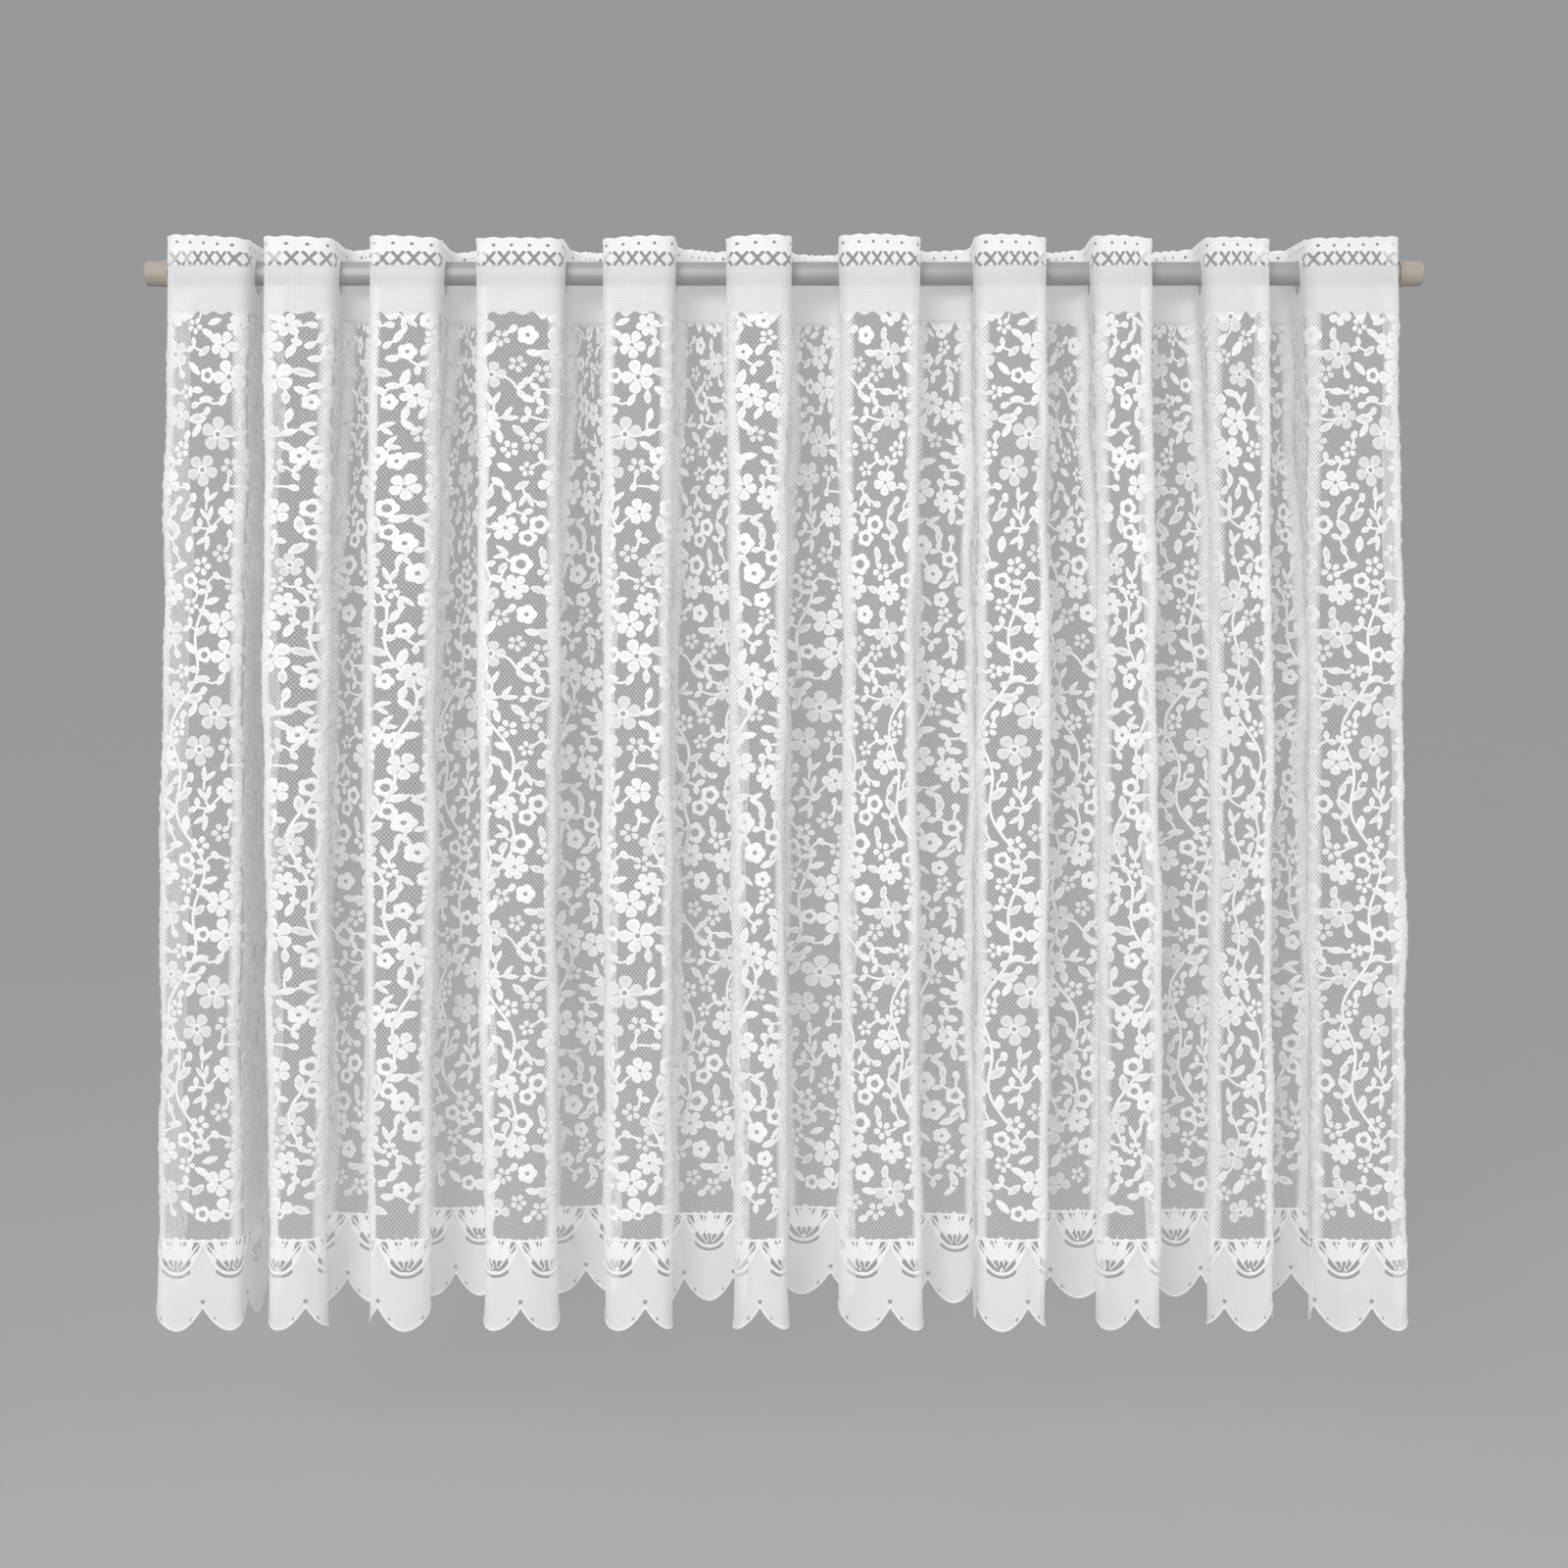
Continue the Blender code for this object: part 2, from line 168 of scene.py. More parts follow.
class Cloth:
    """The cloth's middle surface: where a spot of the flat cloth hangs.

    In plan it is a zigzag. Each fold has a return, the front, the other return and the back, which
    are straight parts, and after each of them the arc of a bend.
    """

    PARTS_A_FOLD = 8
    FRONT_PART = 2
    STEP_ALONG = 0.001
    STEP_DOWN = 0.010
    SPARE_BELOW = 0.001
    SPARE_ABOVE = 0.006
    LONGEST_CUT = 0.48  # the share of a straight part that one bend may take
    SLOPE_STEP = 0.0012  # half the run over which the cloth's direction is read

    # The creases, in mm, and their waves: size, and lengths over tau down and along the cloth
    CREASE_START = -0.03
    CREASE_FADE = 0.10
    NARROW_DEPTH = 0.45
    NARROW_LENGTH = 0.0062
    BROAD_DEPTH = 0.75
    BROAD_LENGTH = 0.0140
    WANDER = (0.006, 0.061, 0.13)
    QUICK_WANDER = (0.004, 0.027, math.inf)
    PATCHES = (0.5, 0.11, 0.053)

    def __init__(self):
        hem = self.line(np.array([EDGE_HEIGHTS["hem"]]), sway=0.0)
        lengths = np.empty(len(hem["starts"]) * 2 + 1)
        lengths[0::2] = np.linalg.norm(hem["straight_ends"] - hem["straight_starts"], axis=-1)[:, 0]
        lengths[1::2] = (hem["radius"] * np.abs(hem["turn"]))[:, 0]
        self.flat_starts = np.concatenate([[0.0], np.cumsum(lengths)])
        self.width = self.flat_starts[-1]
        self.alongs = np.linspace(0.0, self.width, int(self.width / self.STEP_ALONG) + 1)
        rows = int((TOP_EDGE - HEM_TIP) / self.STEP_DOWN) + 2
        self.heights = np.linspace(HEM_TIP - self.SPARE_BELOW, TOP_EDGE + self.SPARE_ABOVE, rows)
        self.plan = self.sample(self.line(self.heights, sway=1.0))

    def line(self, heights, sway):
        """The rounded zigzag at each height: its straight parts and its arcs."""
        corners = self.corners(heights, sway)
        come, leave = corners[1:-1] - corners[:-2], corners[2:] - corners[1:-1]
        come_length = np.linalg.norm(come, axis=-1, keepdims=True)
        leave_length = np.linalg.norm(leave, axis=-1, keepdims=True)
        come, leave = come / come_length, leave / leave_length
        cosine = np.clip((come * leave).sum(-1), -1, 1)
        crossed = come[..., 0] * leave[..., 1] - come[..., 1] * leave[..., 0]
        turn = np.arccos(cosine) * np.sign(crossed)
        half = np.tan(np.abs(turn) / 2)
        wanted = TOP_ROUNDING + (FOLD_ROUNDING - TOP_ROUNDING) * self.share_down(heights)
        longest = self.LONGEST_CUT * np.minimum(come_length, leave_length)[..., 0]
        cut = np.minimum(wanted * half, longest)
        radius = cut / half
        starts = corners[1:-1] - come * cut[..., None]
        ends = corners[1:-1] + leave * cut[..., None]
        side = np.stack([-come[..., 1], come[..., 0]], axis=-1) * np.sign(turn)[..., None]
        return {
            "straight_starts": np.concatenate([corners[:1], ends]),
            "straight_ends": np.concatenate([starts, corners[-1:]]),
            "starts": starts,
            "centres": starts + side * radius[..., None],
            "radius": radius,
            "turn": turn,
        }

    @staticmethod
    def share_down(heights):
        """0 at the top edge and 1 from where the returns lean in full."""
        return np.clip((TOP_EDGE - heights) / (TOP_EDGE - LEAN_FULL_AT), 0, 1)

    def corners(self, heights, sway):
        """Each fold's four corners in plan at each height, with a slight sway below the heading."""
        def swing(wave, number):
            return wave["size"] * np.sin(heights / wave["length"] + wave["shift"] * number)

        lean = LEAN_AT_TOP + (1 - LEAN_AT_TOP) * self.share_down(heights)
        ramp = sway * np.clip(heights / SWAY_FULL_AT, 0, 1)
        found = []
        back = FRONT + LEFT_RETURN
        for number, fold in enumerate(FOLDS):
            left, right = (self.edge(fold, side, heights) for side in "lr")
            drifts = [
                ramp * MM * sum(swing(wave, 4 * number + corner) for wave in CORNER_SWAYS)
                for corner in range(4)
            ]
            dip = ramp * MM * swing(BACK_SWAY, number)
            found.append((left + fold["under_l"] * MM * lean + 2 * drifts[0], back + dip))
            found.append((left + drifts[1], FRONT + 0 * heights))
            found.append((right + drifts[2], FRONT + 0 * heights))
            back = FRONT + fold["depth"] * MM
            found.append((right - fold["under_r"] * MM * lean + 2 * drifts[3], back - dip))
        return np.array([np.stack(np.broadcast_arrays(x, y), axis=-1) for x, y in found])

    @staticmethod
    def edge(fold, side, heights):
        """A fold's edge, read a little below and above each height so that its line has no kinks."""
        levels = list(EDGE_HEIGHTS.values())[::-1]
        places = [fold[f"{name}_{side}"] * MM for name in list(EDGE_HEIGHTS)[::-1]]
        return np.mean([np.interp(heights + off * MM, levels, places) for off in EDGE_READ_AT], axis=0)

    def part_at(self, along):
        """Which straight part or arc a spot is on, and its share of the way along it."""
        index = np.searchsorted(self.flat_starts, along, side="right") - 1
        index = np.clip(index, 0, len(self.flat_starts) - 2)
        low, high = self.flat_starts[index], self.flat_starts[index + 1]
        return index, np.clip((along - low) / (high - low), 0, 1)

    def sample(self, line):
        """The zigzag's points at each step along the cloth, at each height."""
        index, share = self.part_at(self.alongs)
        share = share[:, None]
        run = index // 2
        first, last = line["straight_starts"][run], line["straight_ends"][run]
        straight = first + (last - first) * share[..., None]
        bend = np.minimum(run, len(line["starts"]) - 1)
        centre = line["centres"][bend]
        spoke = line["starts"][bend] - centre
        angle = line["turn"][bend] * share
        arc = centre + np.stack([
            spoke[..., 0] * np.cos(angle) - spoke[..., 1] * np.sin(angle),
            spoke[..., 0] * np.sin(angle) + spoke[..., 1] * np.cos(angle),
        ], axis=-1)
        places = np.where((index % 2 == 0)[:, None, None], straight, arc)
        front = (index % self.PARTS_A_FOLD == self.FRONT_PART)[:, None]
        places[..., 1] -= np.where(front, FRONT_BOW * np.sin(np.pi * share), 0.0)
        return places

    def flat_plan(self, along, height):
        """X and Y of a spot, without its creases."""
        column = np.clip(along / self.width, 0, 1) * (len(self.alongs) - 1)
        row = (height - self.heights[0]) / (self.heights[-1] - self.heights[0])
        row = np.clip(row, 0, 1) * (len(self.heights) - 1)
        left = np.minimum(column.astype(int), len(self.alongs) - 2)
        low = np.minimum(row.astype(int), len(self.heights) - 2)
        across, up = (column - left)[..., None], (row - low)[..., None]
        below = self.plan[left, low] * (1 - across) + self.plan[left + 1, low] * across
        above = self.plan[left, low + 1] * (1 - across) + self.plan[left + 1, low + 1] * across
        return below * (1 - up) + above * up

    def place(self, along, height, lift):
        """The point in space of a spot of the cloth, lifted towards its face."""
        along, height, lift = np.broadcast_arrays(along, height, lift)
        spot = self.flat_plan(along, height)
        step = self.SLOPE_STEP
        ahead = self.flat_plan(along + step, height) - self.flat_plan(along - step, height)
        ahead = ahead / np.maximum(np.linalg.norm(ahead, axis=-1, keepdims=True), TINY)
        out = (lift + self.crease(along, height))[..., None]
        spot = spot + np.stack([ahead[..., 1], -ahead[..., 0]], axis=-1) * out
        return np.concatenate([spot, height[..., None]], axis=-1)

    def crease(self, along, height):
        """Soft troughs and ridges that run down the folds and wander a little."""
        def wave(size, length_down, length_along):
            return size * np.sin(height / length_down + along / length_along)

        below = np.clip((self.CREASE_START - height) / self.CREASE_FADE, 0, 1)
        wander = wave(*self.WANDER) + wave(*self.QUICK_WANDER)
        narrow = np.sin((along + wander) / self.NARROW_LENGTH) * (0.5 + wave(*self.PATCHES))
        broad = np.sin((along - 2 * wander) / self.BROAD_LENGTH + 1.0)
        return below * MM * (self.NARROW_DEPTH * narrow + self.BROAD_DEPTH * broad)


def mesh_piece(name, places, faces, flat, surface, closeness):
    """A smooth mesh with its flat cloth coordinates as UV, and how close its knitting is."""
    mesh = bpy.data.meshes.new(name)
    mesh.from_pydata(places.tolist(), [], faces)
    corner = np.empty(len(mesh.loops), int)
    mesh.loops.foreach_get("vertex_index", corner)
    layer = mesh.uv_layers.new(name="flat")
    layer.data.foreach_set("uv", flat[corner].astype(np.float32).ravel())
    layer = mesh.attributes.new("closeness", "FLOAT", "POINT")
    layer.data.foreach_set("value", closeness.astype(np.float32))
    mesh.shade_smooth()
    mesh.materials.append(surface)
    piece = bpy.data.objects.new(name, mesh)
    bpy.context.scene.collection.objects.link(piece)
    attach(piece, "root")
    return piece


def net_columns(cloth):
    """The places along where the net has a column of points, closer together in the bends."""
    found = [0.0]
    for index, (low, high) in enumerate(zip(cloth.flat_starts, cloth.flat_starts[1:])):
        steps = NET_BEND_STEPS if index % 2 else max(1, math.ceil((high - low) / NET_STEP))
        found += list(low + (high - low) * np.arange(1, steps + 1) / steps)
    return np.array(found)


def knit_net(cloth, surface):
    """The net ground: one sheet, all over the cloth between the heading and the hem."""
    across, down = np.meshgrid(net_columns(cloth), np.linspace(NET_TOP, NET_BOTTOM, NET_ROWS))
    number = np.arange(across.size).reshape(across.shape)
    corners = (number[:-1, :-1], number[1:, :-1], number[1:, 1:], number[:-1, 1:])
    faces = np.stack(corners, axis=-1).reshape(-1, 4).tolist()
    flat = np.stack([across, down], axis=-1).reshape(-1, 2)
    selvedge = np.clip(1.0 - np.minimum(across, cloth.width - across) / SELVEDGE, 0, 1).ravel()
    closeness = np.maximum(selvedge, bunching(cloth, across.ravel()))
    spots = cloth.place(across, down, 0.0).reshape(-1, 3)
    return mesh_piece("lace_net", spots, faces, flat, surface, closeness)


def bunching(cloth, along):
    """How much closer the yarns lie: most at the middle of each bend, and some on the returns."""
    index, share = cloth.part_at(along)
    arch = np.sin(np.pi * share)
    at_bend = np.where(index % 2 == 1, AT_BEND * arch ** BEND_SPREAD, 0.0)
    on_return = np.where(index % 4 == 0, AT_RETURN * np.clip(RETURN_EDGE * arch, 0, 1), 0.0)
    return np.maximum(at_bend, on_return)


def cut_sheet(alongs, heights, cover):
    """The part of a grid where the cover is above zero, cut along its zero line.

    Returns the flat coordinates of its points and its faces.
    """
    least = 1e-7
    across, up = np.meshgrid(alongs, heights)
    value = cover(across, up)
    value = np.where(np.abs(value) < least, least, value)
    rows, columns = value.shape

    def numbers(start, shape):
        return start + np.arange(shape[0] * shape[1]).reshape(shape)

    def crossing(first, last):
        rise = first[..., 2:] - last[..., 2:]
        share = np.clip(first[..., 2:] / np.where(rise == 0, 1.0, rise), 0, 1)
        return (first + (last - first) * share)[..., :2].reshape(-1, 2)

    number = numbers(0, (rows, columns))
    level = numbers(number.size, (rows, columns - 1))
    upright = numbers(number.size + level.size, (rows - 1, columns))
    spots = np.stack([across, up, value], axis=-1)
    points = np.concatenate([
        spots[..., :2].reshape(-1, 2),
        crossing(spots[:, :-1], spots[:, 1:]),
        crossing(spots[:-1], spots[1:]),
    ])
    corners = (number[:-1, :-1], number[:-1, 1:], number[1:, 1:], number[1:, :-1])
    inside = [value.ravel()[corner] > 0 for corner in corners]
    sides = (level[:-1], upright[:, 1:], level[1:], upright[:, :-1])
    faces = []
    for code in range(1, 16):
        wanted = [bool(code >> bit & 1) for bit in range(4)]
        here = np.logical_and.reduce([side == want for side, want in zip(inside, wanted)])
        outline = []
        for bit in range(4):
            if wanted[bit]:
                outline.append(corners[bit][here])
            if wanted[bit] != wanted[(bit + 1) % 4]:
                outline.append(sides[bit][here])
        faces += np.stack(outline, axis=-1).tolist()
    used = np.unique(np.concatenate([np.array(face) for face in faces]))
    renumber = np.zeros(len(points), int)
    renumber[used] = np.arange(len(used))
    return points[used], [[int(renumber[i]) for i in face] for face in faces]


def near(gap, width):
    """1 where the gap is nought, and it fades over about the width."""
    return np.exp(-(gap / width) ** 2)


def top_height(along):
    return TOP_EDGE + TOP_WAVE * np.sin(math.tau * along / TOP_WAVE_LENGTH)


class Strip:
    """Close knitting along one edge of the cloth: a grid that is cut along the line of its cover."""

    def __init__(self, cloth):
        self.cloth = cloth

    def knit(self, surface):
        alongs = np.linspace(0, self.cloth.width, int(self.cloth.width / STRIP_STEP))
        heights = np.concatenate([np.arange(*row) for row in self.GRID])
        flat, faces = cut_sheet(alongs, heights, self.cover)
        along, height = flat.T
        closeness, lift = self.relief(along, height)
        spots = self.cloth.place(along, height, BAND_LIFT + lift)
        closeness = np.maximum(closeness, PLAIN_CLOSENESS)
        return mesh_piece(self.NAME, spots, faces, flat, surface, closeness)


class Heading(Strip):
    """The strip along the top: a picot edge, crossed openings and the band that the rod runs in."""

    NAME = "lace_heading"
    PICOT_PITCH = HOLE_PITCH * 1.2
    PICOT_RISE = 0.0013
    PICOT_HOLE_HEIGHT = 0.0188
    PICOT_HOLE_RADIUS = 0.0015
    CROSS_REACH = 0.0060
    CROSS_ANGLE = math.radians(52)
    CROSS_MIDDLE = 0.00095  # half the width of a slit at its middle, and at its tip
    CROSS_TIP = 0.0014
    LOBE_PITCH = 0.0148
    LOBE_DROP = 0.0095
    LOBE_POWER = 1.6
    LOBE_MEAN = 0.62  # the share of the drop that a lobe has, and how far that swings
    LOBE_SWING = 0.38
    LOBE_SWING_LENGTH = 0.0113
    LOBE_SHIFT = 1.5
    LOBE_SHIFT_LENGTH = 0.047
    LOBE_FADE = 0.004
    RIM = 0.0016
    RIM_LIFT = 0.0005
    SLOT_RIM_AT = 0.0009
    CROSS_RIM_AT = 0.0006
    CROSS_RIM = 0.0012
    CROSS_RIM_SHARE = 0.6
    CROSSES_CLOSENESS = 0.85
    BELOW_CROSSES = HOLE_BOTTOM - 0.001
    GRID = (  # start, stop and step of the heights
        (-0.0500, BAND_BOTTOM, 0.0016),
        (BAND_BOTTOM, -0.0200, 0.0040),
        (-0.0200, BELOW_CROSSES, 0.0020),
        (BELOW_CROSSES, TOP_EDGE + 0.0045, 0.0012),
    )

    def depth(self, along, height):
        """How far a spot is in front of the rod's axis or behind it."""
        return np.abs(self.cloth.flat_plan(along, height)[..., 1])

    def slot_gap(self, along, height):
        """How far a spot lies outside the slot that the rod runs through."""
        below = np.clip(height, -SLOT_DROP, 0.0)
        return np.hypot(self.depth(along, height), height - below) - SLOT_RADIUS

    def cross(self, along, height):
        """How far a spot lies outside the nearest pair of crossed slits."""
        margin = (self.cloth.width % HOLE_PITCH) / 2 + HOLE_PITCH / 2
        x = np.abs((along - margin + HOLE_PITCH / 2) % HOLE_PITCH - HOLE_PITCH / 2)
        y = np.abs(height - (HOLE_TOP + HOLE_BOTTOM) / 2)
        cosine, sine = math.cos(self.CROSS_ANGLE), math.sin(self.CROSS_ANGLE)
        reach = np.clip(x * cosine + y * sine, 0, self.CROSS_REACH)
        off = np.hypot(x - reach * cosine, y - reach * sine)
        wider = (self.CROSS_TIP - self.CROSS_MIDDLE) * reach / self.CROSS_REACH
        return np.where(self.depth(along, height) > HOLE_KEEP_OFF, off - self.CROSS_MIDDLE - wider, 1.0)

    def lower_edge(self, along):
        lobe = np.abs(np.cos(np.pi * along / self.LOBE_PITCH)) ** self.LOBE_POWER
        shift = self.LOBE_SHIFT * np.sin(along / self.LOBE_SHIFT_LENGTH)
        uneven = self.LOBE_MEAN + self.LOBE_SWING * np.sin(along / self.LOBE_SWING_LENGTH + shift)
        return BAND_BOTTOM - self.LOBE_DROP * lobe * uneven

    def cover(self, along, height):
        """Above zero where the heading has cloth."""
        picot = self.PICOT_RISE * np.abs(np.sin(np.pi * along / self.PICOT_PITCH))
        top = top_height(along) + picot - height
        x = (along / self.PICOT_PITCH % 1 - 0.5) * self.PICOT_PITCH
        raised = height - (top_height(along) - TOP_EDGE)
        pinhole = np.hypot(x, raised - self.PICOT_HOLE_HEIGHT) - self.PICOT_HOLE_RADIUS
        bottom = height - self.lower_edge(along)
        return np.minimum.reduce([
            top, pinhole, bottom, self.cross(along, height), self.slot_gap(along, height),
        ])

    def relief(self, along, height):
        """How close the knitting is at each spot, and how far it stands out."""
        slot_rim = near(self.slot_gap(along, height) - self.SLOT_RIM_AT, self.RIM)
        top_rim = near(top_height(along) - height, self.RIM)
        cross_rim = near(self.cross(along, height) - self.CROSS_RIM_AT, self.CROSS_RIM)
        rim = np.maximum.reduce([slot_rim, top_rim, self.CROSS_RIM_SHARE * cross_rim])
        lobes = np.clip((BAND_BOTTOM - height) / self.LOBE_FADE, 0, 1)
        crosses = self.CROSSES_CLOSENESS * (height > HOLE_BOTTOM)
        return np.maximum.reduce([rim, lobes, crosses]), self.RIM_LIFT * rim


class Hem(Strip):
    """The scalloped strip along the bottom, with a swag of cord and a fan over each scallop."""

    NAME = "lace_hem"
    EYELET_RISE = 0.0050
    EYELET_RADIUS = 0.0019
    FLANK_EYELET_OFF = 0.0130  # from the scallop's middle, one to each side
    FLANK_EYELET_RISE = 0.0038
    FLANK_EYELET_RADIUS = 0.0014
    SWAG_LOW = -0.8302
    SWAG_RISE = 0.0262
    SWAG_POWER = 2.2
    CORD = 0.00135  # half its width
    SLIT = 0.0011  # half its height
    SLIT_REACH = 0.0125
    RIM = 0.0021
    RIM_AT = 0.0010
    FAN_COLUMNS = ("angle", "from_base", "length", "width")  # degrees and mm
    FAN_ROWS = (
        (0, 11, 20, 7.6),
        (25, 12, 21, 6.4),
        (48, 16, 19, 5.0),
        (12.5, 2, 33, 1.7),
        (37, 2, 34, 1.7),
    )
    LINE = 0.0010  # half the width of the line along the net's lower edge
    LINE_RISE = 0.0006
    FAN_CLOSENESS = 0.92
    CORD_LIFT = 0.0008
    PETAL_LIFT = 0.0004
    PETAL_SLOPE = 0.002
    GRID = (
        (HEM_TIP - 0.0003, -0.8490, 0.0015),
        (-0.8490, -0.8360, 0.0033),
        (-0.8360, FAN_TOP + 0.001, 0.0013),
    )

    @staticmethod
    def off_centre(along):
        """How far a spot lies from the middle of its scallop."""
        place = (along - SCALLOP_START) / SCALLOP_PITCH
        return np.abs(place - np.floor(place) - 0.5) * SCALLOP_PITCH

    def edge(self, along):
        return HEM_TIP + SCALLOP_RISE * (2 * self.off_centre(along) / SCALLOP_PITCH) ** 2

    def swag(self, along, height):
        """How far a spot lies above the swag's line."""
        share = 2 * self.off_centre(along) / SCALLOP_PITCH
        line = self.SWAG_LOW + self.SWAG_RISE * share ** self.SWAG_POWER
        slope = self.SWAG_RISE * self.SWAG_POWER * share ** (self.SWAG_POWER - 1) * 2 / SCALLOP_PITCH
        return (height - line) / np.sqrt(1 + slope ** 2)

    def petals(self, along, height):
        """The fan's ovals and ribs: above zero inside one."""
        x, y = self.off_centre(along), height - self.SWAG_LOW
        found = np.full(np.shape(x), -1.0)
        for petal in table(self.FAN_COLUMNS, self.FAN_ROWS):
            angle = math.radians(petal["angle"])
            middle = (petal["from_base"] + petal["length"] / 2) * MM
            up = x * math.sin(angle) + y * math.cos(angle) - middle
            side = x * math.cos(angle) - y * math.sin(angle)
            half_length, half_width = petal["length"] * MM / 2, petal["width"] * MM / 2
            inside = (1 - np.hypot(up / half_length, side / half_width)) * half_width
            found = np.maximum(found, inside)
        return found

    def cover(self, along, height):
        """Above zero where the hem has cloth."""
        swag = self.swag(along, height)
        edge = height - self.edge(along)
        notch = SCALLOP_PITCH / 2 - self.off_centre(along)
        eyelet_height = HEM_TIP + SCALLOP_RISE + self.EYELET_RISE
        eyelet = np.hypot(notch, height - eyelet_height) - self.EYELET_RADIUS
        off_flank = self.off_centre(along) - self.FLANK_EYELET_OFF
        flank_eyelet = np.hypot(off_flank, edge - self.FLANK_EYELET_RISE) - self.FLANK_EYELET_RADIUS
        slit_side = self.SLIT - np.abs(swag + self.CORD + self.SLIT)
        slit = np.minimum(slit_side, self.SLIT_REACH - self.off_centre(along))
        band = np.minimum.reduce([-swag, edge, eyelet, flank_eyelet, -slit])
        cord = self.CORD - np.abs(swag)
        petals = np.minimum(self.petals(along, height), swag + self.CORD)
        line = self.LINE - np.abs(height - NET_BOTTOM - self.LINE_RISE)
        return np.maximum.reduce([band, cord, petals, line])

    def relief(self, along, height):
        swag = self.swag(along, height)
        rim = near(height - self.edge(along) - self.RIM_AT, self.RIM)
        cord = np.clip(1 - (swag / self.CORD) ** 2, 0, 1)
        above = swag > 0
        petals = np.clip(self.petals(along, height) / self.PETAL_SLOPE, 0, 1) * above
        lift = self.CORD_LIFT * (rim + cord) + self.PETAL_LIFT * petals
        return np.maximum.reduce([rim, cord, self.FAN_CLOSENESS * above]), lift


class Shapes:
    """Flat motif shapes gathered as points (along, height, lift, closeness) and faces."""

    DOME = 0.0006
    STEM_DOME = 0.0005
    PETAL_FOOT = 0.62  # the share of its width that a petal has near its base
    PETAL_GROWTH = 0.38
    LEAF_POINT = 0.55
    TOP_AT = 0.55  # the share of its length at which an oval is highest
    WAVE_LOW = 0.84
    WAVE_RISE = 0.20

    def __init__(self):
        self.points, self.faces, self.count = [], [], 0

    def add(self, points, faces):
        self.points.append(points)
        self.faces += [[self.count + i for i in face] for face in faces]
        self.count += len(points)

    def blob(self, base, turn, length, width, shape="petal", closeness=0.97, middle=0.84, corners=9):
        """A domed oval from its base along the turn, sheerer in the middle."""
        angle = np.arange(corners) * math.tau / corners
        forward = (1 - np.cos(angle)) / 2
        if shape == "petal":
            side = np.sin(angle) * (self.PETAL_FOOT + self.PETAL_GROWTH * forward)
        else:
            side = np.sin(angle) * np.abs(np.sin(angle)) ** self.LEAF_POINT
        local = np.stack([forward * length, side * width / 2], axis=-1)
        local = np.concatenate([[[length * self.TOP_AT, 0.0]], local])
        cosine, sine = math.cos(turn), math.sin(turn)
        placed = np.stack([
            base[0] + local[:, 0] * cosine - local[:, 1] * sine,
            base[1] + local[:, 0] * sine + local[:, 1] * cosine,
        ], axis=-1)
        lift = np.zeros(corners + 1)
        lift[0] = self.DOME
        close = np.full(corners + 1, closeness)
        close[0] = middle * closeness
        points = np.column_stack([placed, lift, close])
        self.add(points, [[0, 1 + i, 1 + (i + 1) % corners] for i in range(corners)])

    def ring(self, centre, inner, outer, corners, waves=0, dome=DOME):
        """A domed ring, whose outer edge has petals when it has waves."""
        angle = np.arange(corners) * math.tau / corners
        wave = np.ones(corners)
        if waves:
            wave = self.WAVE_LOW + self.WAVE_RISE * np.abs(np.cos(waves * angle / 2))
        rows = []
        for radius, lift in ((inner, 0.0), ((inner + outer) / 2, dome), (outer, 0.0)):
            reach = radius * (wave if radius > inner else 1.0)
            rows.append(np.column_stack([
                centre[0] + reach * np.cos(angle), centre[1] + reach * np.sin(angle),
                np.full(corners, lift), np.ones(corners),
            ]))
        self.add(np.concatenate(rows), self.two_bands(corners, corners))

    def stem(self, spots, width):
        """A domed cord through the spots."""
        spots = np.asarray(spots, float)
        ahead = np.gradient(spots, axis=0)
        ahead /= np.maximum(np.linalg.norm(ahead, axis=1, keepdims=True), TINY)
        side = np.stack([-ahead[:, 1], ahead[:, 0]], axis=-1) * width / 2
        rows = [
            np.column_stack([place, np.full(len(spots), lift), np.ones(len(spots))])
            for place, lift in ((spots + side, 0.0), (spots, self.STEM_DOME), (spots - side, 0.0))
        ]
        self.add(np.concatenate(rows), self.two_bands(len(spots), len(spots) - 1))

    @staticmethod
    def two_bands(count, steps):
        """The faces between three rows of points, which close round when there are as many steps."""
        faces = []
        for row in (0, count):
            for i in range(steps):
                after = (i + 1) % count
                faces.append([row + i, row + count + i, row + count + after, row + after])
        return faces


def step_from(spot, distance, turn):
    return spot[0] + distance * math.cos(turn), spot[1] + distance * math.sin(turn)


